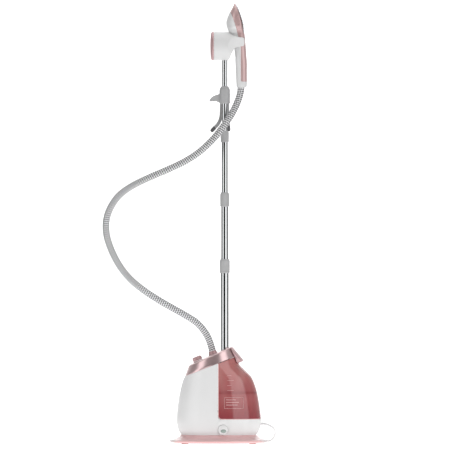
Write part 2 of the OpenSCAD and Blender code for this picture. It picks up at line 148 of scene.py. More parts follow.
def skin(rows, closed=False):
    """Faces between rows of point numbers; a row of one point is a pole."""
    faces = []
    pairs = list(zip(rows, rows[1:] + rows[:1])) if closed else list(zip(rows, rows[1:]))
    for low, high in pairs:
        n = max(len(low), len(high))
        for i in range(n):
            k = (i + 1) % n
            if len(low) == 1:
                faces.append((low[0], high[k], high[i]))
            elif len(high) == 1:
                faces.append((low[i], low[k], high[0]))
            else:
                faces.append((low[i], low[k], high[k], high[i]))
    return faces


def loft(name, rings):
    """Closed solid through rings of the same number of points."""
    verts, rows = [], []
    for ring in rings:
        rows.append(list(range(len(verts), len(verts) + len(ring))))
        verts.extend(ring)
    faces = skin(rows)
    if len(rows[0]) > 1:
        faces.append(tuple(reversed(rows[0])))
    if len(rows[-1]) > 1:
        faces.append(tuple(rows[-1]))
    return raw(name, verts, faces)


def lathe(name, profile, at=None, n=96, closed=False, flutes=None):
    """Solid of revolution. flutes is (count, depth, low, high) on the outer skin."""
    at = at or Matrix()
    rings = []
    for r, z in profile:
        if r < 1e-6:
            rings.append([at @ Vector((0, 0, z))])
            continue
        ring = []
        for i in range(n):
            a = 2 * math.pi * i / n
            rr = r
            if flutes and flutes[2] <= z <= flutes[3]:
                rr -= flutes[1] * (0.5 + 0.5 * math.cos(flutes[0] * a)) ** 2
            ring.append(at @ Vector((rr * math.cos(a), rr * math.sin(a), z)))
        rings.append(ring)
    if not closed:
        return loft(name, rings)
    verts = [p for ring in rings for p in ring]
    rows = [list(range(i * n, i * n + n)) for i in range(len(rings))]
    return raw(name, verts, skin(rows, closed=True))


def cylinder(name, r, low, high, at, n=96):
    return lathe(name, [(0, low), (r, low), (r, high), (0, high)], at, n)


def eased(points, radius, steps=5, closed=False):
    """Polyline with its corners turned into short curves."""
    pts = [np.array(p[:2], float) for p in points]
    n = len(pts)
    out = []
    for i in range(n):
        if not closed and i in (0, n - 1):
            out.append(pts[i])
            continue
        a, b, c = pts[i - 1], pts[i], pts[(i + 1) % n]
        r = points[i][2] if len(points[i]) > 2 else radius
        la, lc = np.linalg.norm(a - b), np.linalg.norm(c - b)
        start = b + (a - b) / la * min(r, 0.49 * la)
        end = b + (c - b) / lc * min(r, 0.49 * lc)
        for k in range(steps + 1):
            t = k / steps
            out.append((1 - t) ** 2 * start + 2 * t * (1 - t) * b + t * t * end)
    return [tuple(p) for p in out]


def prism(name, outline, low, high, plan=False):
    """Outline in X and Z, from low to high along Y; a plan outline is in X and Y, along Z."""
    n = len(outline)
    verts = [(p, q, w) if plan else (p, w, q) for w in (low, high) for p, q in outline]
    faces = [tuple(range(n)), tuple(range(2 * n - 1, n - 1, -1))]
    faces += [(i, i + n, (i + 1) % n + n, (i + 1) % n) for i in range(n)]
    return raw(name, verts, faces)


def curve_through(rows, per):
    """Catmull-Rom curve through rows of numbers."""
    rows = np.array(rows, float)
    out = []
    for i in range(len(rows) - 1):
        a, b = rows[max(i - 1, 0)], rows[i]
        c, d = rows[i + 1], rows[min(i + 2, len(rows) - 1)]
        for k in range(per):
            t = k / per
            out.append(0.5 * (2 * b + t * (c - a) + t * t * (2 * a - 5 * b + 4 * c - d)
                              + t ** 3 * (3 * b - a - 3 * c + d)))
    out.append(rows[-1])
    return np.array(out)


def lengths_along(points):
    """Length of a curve up to each of its points."""
    gaps = np.linalg.norm(np.diff(points, axis=0), axis=1)
    return np.concatenate([[0], np.cumsum(gaps)])


def points_at(lengths, along, points):
    """Points of a curve at some lengths along it."""
    return np.stack([np.interp(lengths, along, points[:, k]) for k in range(3)], axis=1)


def even_steps(points, step):
    """Points along a curve, a fixed step apart, with both ends kept."""
    along = lengths_along(points)
    n = max(2, int(round(along[-1] / step)) + 1)
    return points_at(np.linspace(0, along[-1], n), along, points)


def ways(path):
    """Unit direction of a path at each of its points."""
    d = np.vstack([path[1:], path[-1:]]) - np.vstack([path[:1], path[:-1]])
    return d / np.linalg.norm(d, axis=1)[:, None]


def squarish(n, p):
    """Unit ring of n points: a circle where p is 2, squarer where it is more."""
    ring = []
    for i in range(n):
        a = 2 * math.pi * i / n
        c, s = math.cos(a), math.sin(a)
        m = (abs(c) ** p + abs(s) ** p) ** (-1 / p)
        ring.append((m * c, m * s))
    return ring


def section(xl, zl, xr, zr, yd, xm, n=160, p=2.4):
    """One closed, slanted section of a shell, as the frame's own shells have it."""
    ring = []
    for c, s in squarish(n, p):
        x = xm + c * ((xr - xm) if c > 0 else (xm - xl))
        ring.append((x, s * yd, zl + (zr - zl) * (x - xl) / (xr - xl)))
    return ring


# ---------- materials ----------

def feed(tree, to, inputs):
    """Gives a node's inputs other nodes' sockets, or plain values."""
    for key, value in inputs.items():
        if isinstance(value, bpy.types.NodeSocket):
            tree.links.new(value, to.inputs[key])
        else:
            to.inputs[key].default_value = value


def node(tree, kind, inputs=None, **settings):
    made = tree.nodes.new("ShaderNode" + kind)
    for key, value in settings.items():
        setattr(made, key, value)
    feed(tree, made, inputs or {})
    return made


def colour_ramp(tree, value, stops):
    """Colour from a value, through stops of a position and a colour."""
    ramp = node(tree, "ValToRGB", {"Fac": value})
    elements = ramp.color_ramp.elements
    elements[0].position, elements[1].position = stops[0][0], stops[-1][0]
    for position, _ in stops[1:-1]:
        elements.new(position)
    for element, (_, colour) in zip(elements, stops):
        element.color = (*colour, 1)
    return ramp.outputs["Color"]


def surface(name, colour, rough, metallic=0.0, coat=0.0, vary=0.05, patch=18.0,
            grain=900.0, bump=0.02, rough_vary=0.06, transmission=0.0, subsurface=0.0):
    """Moulded, plated or lacquered surface: soft patches of tone, a fine grain in the
    normal and a little change in gloss."""
    mat = bpy.data.materials.new(name)
    mat.use_nodes = True
    tree = mat.node_tree
    spot = node(tree, "TexCoord").outputs["Object"]
    tone = node(tree, "TexNoise", {"Scale": patch, "Detail": 3.0, "Vector": spot})
    fine = node(tree, "TexNoise", {"Scale": grain, "Detail": 2.0, "Vector": spot})
    lift = node(tree, "Bump", {"Strength": bump, "Distance": 0.0005,
                               "Height": fine.outputs["Fac"]})
    gloss = node(tree, "MapRange", {"To Min": max(0.0, rough - rough_vary / 2),
                                    "To Max": rough + rough_vary / 2,
                                    "Value": tone.outputs["Fac"]})
    dark = [c * (1 - vary) for c in colour]
    light = [min(1, c * (1 + vary / 2)) for c in colour]
    feed(tree, tree.nodes["Principled BSDF"], {
        "Base Color": colour_ramp(tree, tone.outputs["Fac"], [(0.3, dark), (0.7, light)]),
        "Roughness": gloss.outputs["Result"], "Normal": lift.outputs["Normal"],
        "Metallic": metallic, "Coat Weight": coat, "Coat Roughness": 0.05,
        "Transmission Weight": transmission, "Subsurface Weight": subsurface,
        "Subsurface Scale": 0.004})
    return mat


def shader_of(mat):
    """A material's node tree, its shader and the socket that gives its base colour."""
    shader = mat.node_tree.nodes["Principled BSDF"]
    return mat.node_tree, shader, shader.inputs["Base Color"].links[0].from_socket


def skirt_surface():
    """Pink plate that turns pale and milky towards its thin ends."""
    mat = surface("pink_plate", (0.80, 0.50, 0.50), 0.22, coat=0.4, vary=0.03)
    tree, shader, base = shader_of(mat)
    split = node(tree, "SeparateXYZ", {"Vector": node(tree, "TexCoord").outputs["Object"]})
    out = node(tree, "Math", {0: split.outputs["X"]}, operation="ABSOLUTE")
    rim = node(tree, "MapRange", {"From Min": 0.138, "From Max": 0.165,
                                  "Value": out.outputs[0]}, interpolation_type="SMOOTHSTEP")
    mix = node(tree, "Mix", data_type="RGBA")
    feed(tree, mix, {"Factor": rim.outputs["Result"], "A": base, "B": (0.60, 0.52, 0.515, 1)})
    feed(tree, shader, {"Base Color": mix.outputs["Result"]})
    return mat


def tank_surface():
    """See-through rose plastic with painted light in its colour: painted shade darkens the foot and
    draws a dark line at the water level, the top is painted paler as if lit through, and pale rose is
    painted over the upper part as inner reflections.
    """
    mat = surface("tank_clear", (0.6, 0.2, 0.2), 0.1, coat=0.4, patch=9, transmission=0.35,
                  bump=0.01)
    tree, shader, _ = shader_of(mat)
    spot = node(tree, "TexCoord").outputs["Object"]
    split = node(tree, "SeparateXYZ", {"Vector": spot})
    height = node(tree, "MapRange", {"From Min": 0.08, "From Max": 0.32,
                                     "Value": split.outputs["Z"]}).outputs["Result"]
    # Painted shade and light by height: a dark foot, a dark line at the water level and a paler top.
    tone = colour_ramp(tree, height, [
        (0.0, (0.40, 0.075, 0.09)), (0.12, (0.44, 0.09, 0.10)), (0.33, (0.55, 0.15, 0.155)),
        (0.385, (0.53, 0.14, 0.145)), (0.41, (0.40, 0.08, 0.09)), (0.45, (0.54, 0.15, 0.155)),
        (0.70, (0.66, 0.24, 0.23)), (1.0, (0.62, 0.22, 0.21))])
    # Painted inner reflections: pale rose mixed in through a stretched noise, stronger towards the top.
    stretch = node(tree, "Mapping", {"Scale": (1.6, 1.0, 0.45), "Vector": spot})
    reflection_noise = node(tree, "TexNoise", {"Scale": 14.0, "Detail": 1.0,
                                   "Vector": stretch.outputs["Vector"]})
    painted_reflection = node(tree, "MapRange", {"From Min": 0.45, "From Max": 0.75, "To Max": 0.45,
                                   "Value": reflection_noise.outputs["Fac"]})
    painted_reflection_by_height = node(tree, "Math", {0: painted_reflection.outputs["Result"], 1: height}, operation="MULTIPLY")
    mix = node(tree, "Mix", data_type="RGBA")
    feed(tree, mix, {"Factor": painted_reflection_by_height.outputs[0], "A": tone, "B": (0.80, 0.52, 0.49, 1)})
    feed(tree, shader, {"Base Color": mix.outputs["Result"]})
    return mat


def braid_surface():
    """Silver-grey braid with painted shade: its colour is darkened in the low parts of the relief,
    where the strands cross under and between the turns.
    """
    mat = surface("hose_braid", (0.82, 0.82, 0.83), 0.36, metallic=0.3, vary=0.06, patch=60,
                  grain=2500, bump=0.1)
    tree, shader, base = shader_of(mat)
    relief = node(tree, "Attribute", attribute_name="relief")
    # Painted shade in the grooves: the low parts of the relief darken the braid's colour.
    shade = colour_ramp(tree, relief.outputs["Fac"], [(0.22, (0.09, 0.09, 0.095)),
                                                      (0.70, (1, 1, 1))])
    mix = node(tree, "Mix", data_type="RGBA", blend_type="MULTIPLY")
    feed(tree, mix, {"Factor": 1.0, "A": base, "B": shade})
    feed(tree, shader, {"Base Color": mix.outputs["Result"]})
    return mat


WHITE = surface("white_plastic", (0.79, 0.79, 0.79), 0.38, coat=0.15, vary=0.012, bump=0.01)
ROSE_LACQUER = surface("rose_lacquer", (0.74, 0.54, 0.545), 0.30, metallic=0.75, coat=0.5,
                       vary=0.08, patch=30, grain=4000, bump=0.05)
ROSE_DEEP = surface("rose_lacquer_deep", (0.55, 0.35, 0.36), 0.42, metallic=0.6, coat=0.15,
                    vary=0.06, patch=30, grain=4000, bump=0.05)
ROSE = surface("rose_plastic", (0.63, 0.43, 0.425), 0.28, metallic=0.2, coat=0.4, vary=0.04)
PAD = surface("rose_pad", (0.62, 0.42, 0.41), 0.7, vary=0.08, grain=1500, bump=0.2)
TIP = surface("arm_tip_rubber", (0.13, 0.13, 0.135), 0.65, vary=0.12, grain=1600, bump=0.3)
PINK = skirt_surface()
# The tank's colour holds painted shade and painted reflections.
TANK = tank_surface()
WATER = surface("tank_water", (0.62, 0.18, 0.19), 0.05, vary=0.04, transmission=0.5, bump=0.01)
CHROME = surface("chrome_tube", (0.56, 0.57, 0.58), 0.08, metallic=1.0, vary=0.02,
                 patch=40, grain=1500, bump=0.006, rough_vary=0.04)
GREY = surface("grey_plastic", (0.45, 0.45, 0.455), 0.42, vary=0.05, patch=60, grain=1800,
               bump=0.35)
RUBBER = surface("dark_rubber", (0.035, 0.035, 0.038), 0.7, vary=0.2, grain=1600, bump=0.3)
SHEATH = surface("white_sheath", (0.78, 0.78, 0.78), 0.4, vary=0.03, grain=1200, bump=0.06)
DARK = surface("dark_plastic", (0.03, 0.03, 0.032), 0.5, vary=0.15, grain=1500, bump=0.2)
STEEL = surface("bright_steel", (0.62, 0.63, 0.65), 0.25, metallic=1.0, vary=0.04, grain=2200,
                bump=0.05)
ALLOY = surface("boiler_alloy", (0.55, 0.56, 0.58), 0.45, metallic=1.0, vary=0.1, patch=80,
                grain=700, bump=0.3)
SOLE = surface("sole_alloy", (0.66, 0.67, 0.69), 0.2, metallic=1.0, vary=0.04, grain=3000,
               bump=0.04)
SILICONE = surface("silicone", (0.75, 0.75, 0.72), 0.45, vary=0.05, subsurface=0.1)
BOARD = surface("board", (0.03, 0.16, 0.07), 0.35, coat=0.4, vary=0.25, patch=160)
LENS = surface("pilot_lens", (0.34, 0.42, 0.38), 0.15, coat=0.8, vary=0.08)
BRAID = braid_surface()
# Pale rose of the tank's edge rim: a painted highlight along the edge.
TANK_EDGE_HIGHLIGHT = surface("tank_edge_highlight", (0.78, 0.50, 0.49), 0.3, coat=0.3, vary=0.04)
MARK = surface("tank_print", (0.72, 0.46, 0.46), 0.4, vary=0.05)


# ---------- camera ----------

def make_camera():
    """Level view along +Y, with the framing of a tall product picture."""
    distance = 30.0
    view_height = 1.575
    camera = bpy.data.cameras.new("camera")
    camera.sensor_width = 36.0
    camera.lens = camera.sensor_width * distance / view_height
    obj = add_object("camera", camera)
    obj.location = (0.022, -distance, 0.765)
    obj.rotation_euler = (math.radians(90), 0, 0)
    bpy.context.scene.camera = obj


# ---------- hose and lead ----------

HOSE_D = 0.025
HOSE_ROUTE = [
    (-0.022, 0, 0.324), (-0.026, 0, 0.340), (-0.037, -0.002, 0.370), (-0.054, -0.005, 0.398),
    (-0.082, -0.008, 0.427), (-0.122, -0.012, 0.452), (-0.170, -0.016, 0.479),
    (-0.216, -0.020, 0.506), (-0.260, -0.024, 0.535), (-0.300, -0.027, 0.567),
    (-0.333, -0.030, 0.603), (-0.360, -0.033, 0.645), (-0.382, -0.036, 0.695),
    (-0.393, -0.039, 0.740), (-0.392, -0.041, 0.785), (-0.377, -0.044, 0.828),
    (-0.347, -0.046, 0.869), (-0.300, -0.048, 0.903), (-0.240, -0.050, 0.932),
    (-0.175, -0.052, 0.960), (-0.115, -0.052, 0.989), (-0.063, -0.051, 1.024),
    (-0.018, -0.048, 1.067), (0.018, -0.040, 1.112), (0.046, -0.027, 1.154),
    (0.0635, -0.013, 1.190), (0.0745, -0.003, 1.222), (0.0785, 0, 1.248)]
HOSE_STRETCHES = [
    ("hose_lower", 0, 12, "base", "mast_2"),
    ("hose_middle", 12, 20, "mast_2", "mast_3"),
    ("hose_upper", 20, 23, "mast_3", "mast_4"),
    ("hose_top", 23, 27, "mast_4", "handset")]


def make_hose():
    """Wound hose in a woven sleeve, one mesh for each stretch between two bodies. Its close
    turns stand up, with the sleeve's slanting strands over them."""
    per = 60
    strands, pitch, around = 9, 0.0075, 64
    relief_depth, ring_step, reach = 0.0009, 0.0009, 0.002
    dense = curve_through(HOSE_ROUTE, per)
    along = lengths_along(dense)
    for name, first, last, body_a, body_b in HOSE_STRETCHES:
        s0, s1 = along[first * per], along[last * per]
        count = int(round((s1 - s0) / ring_step)) + 1
        at = np.linspace(s0, s1, count)
        centre = points_at(at, along, dense)
        way = points_at(at + reach, along, dense) - points_at(at - reach, along, dense)
        way /= np.linalg.norm(way, axis=1)[:, None]
        side = np.cross(way, [0, 1, 0.1])
        side /= np.linalg.norm(side, axis=1)[:, None]
        up = np.cross(side, way)
        verts, relief = [], []
        for j in range(count):
            for i in range(around):
                a = 2 * math.pi * i / around
                wind = 0.5 + 0.5 * math.cos(2 * math.pi * (at[j] / pitch + i / around))
                weave = 0.5 + 0.5 * math.cos(2 * math.pi * (strands * i / around
                                                            - at[j] / (2.2 * pitch)))
                h = 0.66 * wind + 0.34 * weave
                r = HOSE_D / 2 - relief_depth + relief_depth * h
                spoke = math.cos(a) * side[j] + math.sin(a) * up[j]
                verts.append((centre[j] + r * spoke) / MM)
                relief.append(h)
        rows = [list(range(j * around, (j + 1) * around)) for j in range(count)]
        faces = skin(rows) + [tuple(reversed(rows[0])), tuple(rows[-1])]
        obj = raw("steam_" + name, verts, faces)
        # The relief also sets the braid's painted shade in its grooves.
        layer = obj.data.attributes.new("relief", "FLOAT", "POINT")
        layer.data.foreach_set("value", relief)
        dress(obj, BRAID, None, [name], angle=80)
        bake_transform(obj)


LEAD_D = 0.007
LEAD_ROUTE = [
    (0.171, 0.004, 0.067), (0.181, 0.008, 0.062), (0.190, 0.015, 0.055),
    (0.196, 0.027, 0.046), (0.198, 0.043, 0.036), (0.196, 0.062, 0.026),
    (0.191, 0.082, 0.016), (0.182, 0.102, 0.008), (0.170, 0.122, 0.005),
    (0.155, 0.141, 0.004), (0.137, 0.156, 0.004), (0.118, 0.165, 0.004),
    (0.098, 0.168, 0.004), (0.078, 0.168, 0.004)]
LEAD_TAIL = [(0.033, 0.168, 0.012), (0.027, 0.168, 0.0155), (0.022, 0.168, 0.018)]
COIL_CENTRE = (0.050, 0.215)
COIL_MID_R = 0.040


def coil_points():
    """Five turns in two layers: three rings wound inwards on the floor, then out again
    on top, and off along the same line the lead came in on."""
    turns = [0, 0.75, 1, 1.75, 2, 2.5, 2.75, 3.25, 3.5, 4.25, 4.5, 5]
    rings = [1, 1, 0, 0, -1, -1, -1, -1, 0, 0, 1, 1]
    layers = [0, 0, 0, 0, 0, 0, 1, 1, 1, 1, 1, 1]
    low = 0.004
    out = []
    for k in range(1, 5 * 32):
        t = k / 32
        r = COIL_MID_R + LEAD_D * np.interp(t, turns, rings)
        z = low + LEAD_D * np.interp(t, turns, layers)
        a = -math.pi / 2 - 2 * math.pi * t
        out.append((COIL_CENTRE[0] + r * math.cos(a), COIL_CENTRE[1] + r * math.sin(a), z))
    return out


def make_lead():
    """Mains lead as one curve from the strain relief to the plug."""
    route = LEAD_ROUTE + [(0.064, 0.168, 0.004)]
    tail = [(0.050, 0.168, 0.011), (0.041, 0.168, 0.0113)] + LEAD_TAIL
    points = np.concatenate([curve_through(route, 8), np.array([(0.050, 0.168, 0.004)]),
                             np.array(coil_points()), curve_through(tail, 5)])
    data = bpy.data.curves.new("mains_lead_curve", "CURVE")
    data.dimensions = "3D"
    data.bevel_depth = LEAD_D / 2
    data.bevel_resolution = 6
    data.use_fill_caps = True
    spline = data.splines.new("POLY")
    spline.points.add(len(points) - 1)
    for point, co in zip(spline.points, points):
        point.co = (*co, 1)
    obj = add_object("mains_lead_cord", data)
    obj.data.materials.append(SHEATH)
    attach(obj, "base")
    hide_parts("mains_lead", "lead_coil")
    return obj, float(lengths_along(points)[-1])


make_camera()
make_hose()
lead, lead_length = make_lead()


# ---------- base ----------

PLATE_HALF = (172.5, 136.0)
PLATE_SECTIONS = [(0.86, 0.83, 2.5), (0.93, 0.915, 3.2), (0.975, 0.968, 5.2), (0.998, 0.997, 8.2),
                  (0.999, 0.998, 10.4), (0.985, 0.984, 12.4), (0.94, 0.93, 14.4),
                  (0.88, 0.865, 17.2), (0.835, 0.80, 20.8), (0.80, 0.752, 25), (0.775, 0.722, 30),
                  (0.770, 0.715, 31.4), (0.72, 0.66, 31.6)]

BODY_SECTIONS = [
    (-130, 31, 131, 31, 96), (-139, 44, 140, 44, 101), (-145, 62, 146, 62, 104),
    (-147.5, 84, 149, 86, 105), (-145.5, 112, 146, 115, 104), (-139.5, 160, 139, 162, 100),
    (-131, 200, 129, 202, 95), (-124, 224, 115, 235, 91), (-121, 230, 92, 259, 88.5),
    (-119.5, 233, 70, 283, 86), (-118, 236, 62, 307, 84)]
DECK_LOW = BODY_SECTIONS[-1]
DECK_TOP = (-104, 275, 47, 339, 72)
DECK_SLOPE = math.degrees(math.atan2(DECK_TOP[3] - DECK_TOP[1], DECK_TOP[2] - DECK_TOP[0]))
DECK_TILT = turned("Y", -DECK_SLOPE)
BAY_X, BAY_Z, BAY_R = -3.0, 86.0, 12.0
MAST_X = 21.0
COLUMN_R = 18.0
GAP = 0.6
KEY_AT = place(15, -105, 50, turned("X", 90))
KNOB_FOOT = (-73, 0, 292)
GLAND_TOP = (-22, 0, 324)
GLAND_TILT = 14.0


def body_rings(inset=0.0, drop=0.0, first=0, last=None):
    """Sections of the body's envelope, drawn in by inset and lowered by drop."""
    rows = curve_through(BODY_SECTIONS, 5)[first:last]
    return [section(r[0] + inset, r[1] - drop, r[2] - inset, r[3] - drop, r[4] - inset,
                    (r[0] + r[2]) / 2) for r in rows]


def bay_prism(name, x0, z0):
    """Everything past the tank's outline, with its round corner."""
    arc = [(x0 + BAY_R - BAY_R * math.cos(a), z0 + BAY_R - BAY_R * math.sin(a))
           for a in np.linspace(0, math.pi / 2, 9)]
    return prism(name, [(x0, 400)] + arc + [(300, z0), (300, 400)], -200, 200)


def near_skin(x, z, grow=0.0):
    """Y of the body's near face at a point of its front view."""
    rows = curve_through(BODY_SECTIONS, 12)
    best = None
    for a, b in zip(rows, rows[1:]):
        za = a[1] + (a[3] - a[1]) * (x - a[0]) / (a[2] - a[0])
        zb = b[1] + (b[3] - b[1]) * (x - b[0]) / (b[2] - b[0])
        if min(za, zb) <= z <= max(za, zb):
            t = (z - za) / (zb - za) if zb != za else 0
            best = a + t * (b - a)
    row = rows[-1] if best is None else best
    half = (row[2] - row[0]) / 2
    u = min(0.999, abs((x - (row[0] + row[2]) / 2) / half))
    return -(row[4] * (1 - u ** 2.4) ** (1 / 2.4) + grow)


def make_plate():
    rings = []
    for fx, fy, z in curve_through(PLATE_SECTIONS, 3):
        rings.append(section(-fx * PLATE_HALF[0], z, fx * PLATE_HALF[0], z,
                             fy * PLATE_HALF[1], 0, 192, 2.15))
    plate = loft("base_skirt", rings)
    dress(plate, PINK, "base", ["base_plate"], angle=50)
    for sx in (-1, 1):
        for sy in (-1, 1):
            foot = lathe(f"foot_{'l' if sx < 0 else 'r'}{'n' if sy < 0 else 'f'}",
                         eased([(0, 0), (12, 0, 1.2), (11.4, 2.8, 0.4), (0, 2.8)], 1),
                         place(118 * sx, 72 * sy, 0), 48)
            dress(foot, PAD, "base", ["rubber_feet"])


def make_body():
    body = loft("body_casing", body_rings())
    hollow = loft("hollow", body_rings(3.0, first=1, last=-1))
    combine(body, hollow)
    combine(body, bay_prism("bay", BAY_X, BAY_Z))
    combine(body, cylinder("key_hole", 18.6, -15, 15, KEY_AT))
    bevel(body, 1.1, 3, 40)
    dress(body, WHITE, "base", ["body_shell"], angle=35)
    # Seam line round the foot of the casing, as a thin raised bead.
    bead = [section(0.5 - half, z, 0.5 + half, z, yd, 0.5)
            for half, yd, z in ((132, 97.3, 32.2), (132.9, 98.1, 33), (133.1, 98.2, 34.2),
                                (132.1, 97.4, 35))]
    rim = loft("foot_bead", bead)
    dress(rim, WHITE, "base")


def make_tongue():
    """Raised tongue on the near face that frames the power key."""
    outline = eased([(-5, 82.5), (35, 82.5), (36.5, 52), (35, 36), (25, 29.8), (15, 28.6),
                     (5, 29.8), (-5, 36), (-6.5, 52)], 9, closed=True)
    tongue = loft("proud", body_rings(-1.4, last=24))
    core = loft("core", body_rings(0.6, last=30))
    combine(tongue, prism("cut", outline, -140, -60), "INTERSECT")
    combine(tongue, core)
    combine(tongue, cylinder("key_hole", 18.7, -25, 25, KEY_AT))
    bevel(tongue, 0.7, 3, 40)
    dress(tongue, WHITE, "base", angle=35)
    key = lathe("power_key", eased([(0, -9), (17.9, -9, 0.5), (17.9, 0.9, 1.2),
                                    (15.5, 2.2, 1.5), (8, 2.5, 3), (0, 2.6)], 1), KEY_AT)
    dress(key, WHITE, "power_key", ["power_button"])
    squash_flat = Matrix.Diagonal((0.91, 0.56, 1.0, 1.0))
    lens = lathe("power_key_lens", eased([(0, 1.2), (11, 1.2, 0.2), (11, 2.9, 0.7),
                                          (7, 3.4, 2), (0, 3.5)], 0.5),
                 KEY_AT @ Matrix.Translation((1.4, -4.2, 0)) @ squash_flat, 72)
    dress(lens, LENS, "power_key")


def make_deck():
    rows = [np.array(DECK_LOW, float), np.array(DECK_TOP, float)]
    rings = []
    for t in (0.0, 0.012, 0.03, 0.25, 0.5, 0.75, 0.86, 0.92, 0.96, 0.985, 1.0):
        r = rows[0] + t * (rows[1] - rows[0])
        pull = 1.2 * max(0, 1 - t / 0.03) + 3.2 * max(0, (t - 0.9) / 0.1) ** 2
        rings.append(section(r[0] + pull, r[1], r[2] - pull, r[3], r[4] - pull,
                             (r[0] + r[2]) / 2))
    top = rows[1]
    for scale, crown in ((0.90, 0.5), (0.75, 1.2), (0.5, 1.9), (0.25, 2.2), (0.04, 2.3)):
        mid_x, mid_z = (top[0] + top[2]) / 2, (top[1] + top[3]) / 2
        half = scale * (top[2] - top[0]) / 2
        rise = scale * (top[3] - top[1]) / 2
        rings.append(section(mid_x - half, mid_z - rise + crown, mid_x + half,
                             mid_z + rise + crown, scale * top[4], mid_x))
    deck = loft("top_deck_cover", rings)
    dress(deck, ROSE_LACQUER, "base", ["top_deck"], angle=60)
    ring = lathe("knob_ring", eased([(14, -5.5), (19.5, -5.5, 0.4), (18.9, -1.6, 1),
                                     (16.5, -0.9, 0.5), (14, -0.9)], 1),
                 place(*KNOB_FOOT, DECK_TILT), closed=True)
    dress(ring, ROSE_DEEP, "base")
    rise = math.tan(math.radians(DECK_SLOPE)) * (MAST_X - DECK_TOP[0])
    foot_z = DECK_TOP[1] + rise + 1.6
    collar = lathe("mast_grommet", eased([(14.2, -3), (18.6, -3), (18.0, 0.9, 0.8),
                                          (14.2, 1.5, 0.4)], 0.5, closed=True),
                   place(MAST_X, 0, foot_z, DECK_TILT), closed=True)
    dress(collar, ROSE_LACQUER, "base")


def make_controls():
    profile = eased([(0, 0), (17, 0, 0.8), (17, 2.2, 0.3), (16.6, 2.6, 0.3),
                     (16.5, 10.5, 2), (13.6, 13.4, 2.2), (9, 13.6, 1), (7.5, 13.1, 1),
                     (0, 13.0)], 1)
    knob = lathe("steam_knob", profile, place(*KNOB_FOOT, DECK_TILT), 192, flutes=(36, 0.45, 2.7, 10.6))
    dress(knob, ROSE_DEEP, "knob", ["control_knob"], angle=50)
    mark = prism("knob_mark", eased([(9.5, 13.0), (16.2, 12.0), (16.2, 12.7),
                                     (9.5, 14.0)], 0.2, closed=True), -0.9, 0.9)
    mark.data.transform(Matrix.Translation([MM * c for c in KNOB_FOOT])
                        @ DECK_TILT @ turned("Z", 180))
    dress(mark, WHITE, "knob")
    gland = lathe("hose_boot", eased(
        [(6, 0), (12.9, 0, 0.6), (13.8, -1.4, 0.6), (14.4, -4, 0.3), (14.0, -4.4, 0.2),
         (15.6, -9.5, 0.6), (17.9, -13.6, 0.8), (18.4, -18, 0.5), (12, -19), (12, -34),
         (6, -36)], 0.5, closed=True), place(*GLAND_TOP, turned("Y", -GLAND_TILT)), closed=True)
    dress(gland, ROSE_DEEP, "base", ["hose_gland"])


# ---------- tank ----------

FILL_AT = place(86, 0, 249, turned("Y", 46))


def column_cut(name, r):
    """Slot that leaves room for the mast's column as the tank is drawn out."""
    arc = [(MAST_X + r * math.sin(a), -r * math.cos(a)) for a in np.linspace(0, math.pi, 25)]
    return prism(name, [(-200, -r)] + arc + [(-200, r)], 20, 400, plan=True)


def tank_solid(name, inset, grow, drop):
    """Envelope of the tank, drawn in on every side."""
    solid = loft(name, body_rings(inset, drop))
    return combine(solid, bay_prism("bay", BAY_X + GAP + grow, BAY_Z + GAP + grow), "INTERSECT")


def make_tank():
    tank = tank_solid("tank_clear_shell", 0, 0, 1)
    combine(tank, column_cut("slot", COLUMN_R + GAP))
    combine(tank, cylinder("well", 18, 0, 40, FILL_AT, 64))
    bevel(tank, 1.6, 3, 35)
    hollow = tank_solid("hollow", 2.6, 2.6, 5)
    combine(hollow, column_cut("slot", COLUMN_R + GAP + 3))
    combine(hollow, cylinder("well", 21, -3, 60, FILL_AT, 64))
    combine(tank, hollow)
    dress(tank, TANK, "tank", ["tank_shell"], angle=35)
    water = tank_solid("tank_water", 2.9, 2.9, 5)
    combine(water, column_cut("slot", COLUMN_R + GAP + 3.4))
    surface_z = 172
    combine(water, prism("level", [(-50, 0), (250, 0), (250, surface_z), (-50, surface_z)],
                         -200, 200), "INTERSECT")
    dress(water, WATER, "tank", angle=35)


def skin_strip(name, corners, width, proud):
    """Raised line on the near face, through points of the front view."""
    points = np.array([(x, 0.0, z) for x, z in corners], float)
    path = even_steps(points, 1.5)
    verts, rows = [], []
    for p, d in zip(path, ways(path)):
        across = np.array((-d[2], 0, d[0])) * width / 2
        ring = []
        for side, height in ((-1, -0.4), (-0.7, proud), (0.7, proud), (1, -0.4)):
            q = p + side * across
            ring.append((q[0], near_skin(q[0], q[2], height), q[2]))
        rows.append(list(range(len(verts), len(verts) + 4)))
        verts.extend(ring)
    faces = [(a[i], a[(i + 1) % 4], b[(i + 1) % 4], b[i])
             for a, b in zip(rows, rows[1:]) for i in range(4)]
    faces += [tuple(reversed(rows[0])), tuple(rows[-1])]
    return raw(name, verts, faces)


def make_tank_marks():
    """A plain rating frame and level lines, moulded on the tank's near face, and a raised rim along the
    tank's edge whose pale colour is a painted highlight.
    """
    frame_box = [(20, 125), (86, 125), (86, 163), (20, 163), (20, 125)]
    strips = [(frame_box, 1.0)]
    strips += [([(26, z), (26 + w, z)], 2.2) for z, w in ((155, 34), (146, 44), (137, 40))]
    for k, z in enumerate((188, 205, 222, 239)):
        strips.append(([(30, z), (30 + (14 if k % 2 else 22), z)], 1.2))
    # Raised rim along the tank's edge by the bay; its pale colour is a painted highlight.
    corner = [(-1.2 + 13 - 13 * math.cos(a), 87.2 + 13 - 13 * math.sin(a))
              for a in np.linspace(0, math.pi / 2, 9)]
    edge = skin_strip("tank_edge_highlight", [(-1.2, 279)] + corner + [(143.5, 87.2)], 2.4, 0.25)
    dress(edge, TANK_EDGE_HIGHLIGHT, "tank", angle=60)
    for k, (line, width) in enumerate(strips):
        strip = skin_strip(f"tank_mark_{k}", line, width, 0.35)
        dress(strip, MARK, "tank", angle=60)


